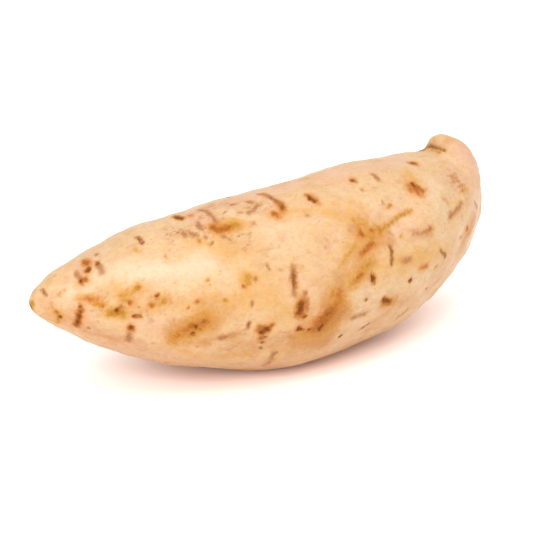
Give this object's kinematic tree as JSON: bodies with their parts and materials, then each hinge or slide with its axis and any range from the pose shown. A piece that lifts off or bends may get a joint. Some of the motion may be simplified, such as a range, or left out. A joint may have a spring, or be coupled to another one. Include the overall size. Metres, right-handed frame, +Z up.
{
  "type": "purple sweet potato",
  "caption": "Whole raw sweet potato root with pale tan skin: plump and slightly bent, tapering to a pointed tail, with a blunt end that bears a short crown stub.",
  "frame": {"origin": "middle of the root's footprint, on the surface it rests on", "axes": "+X along the root from the pointed tail to the blunt crown end, +Z up, -Y towards the side that bellies outwards"},
  "size_m": [0.1996, 0.0742, 0.0722],
  "materials": {
    "skin": "thin pale tan skin, dull to satin, with brown corky scars, ochre stains and mauve-brown scratches"
  },
  "bodies": {
    "root": {"sweet_potato": "skin"}
  },
  "joints": []
}
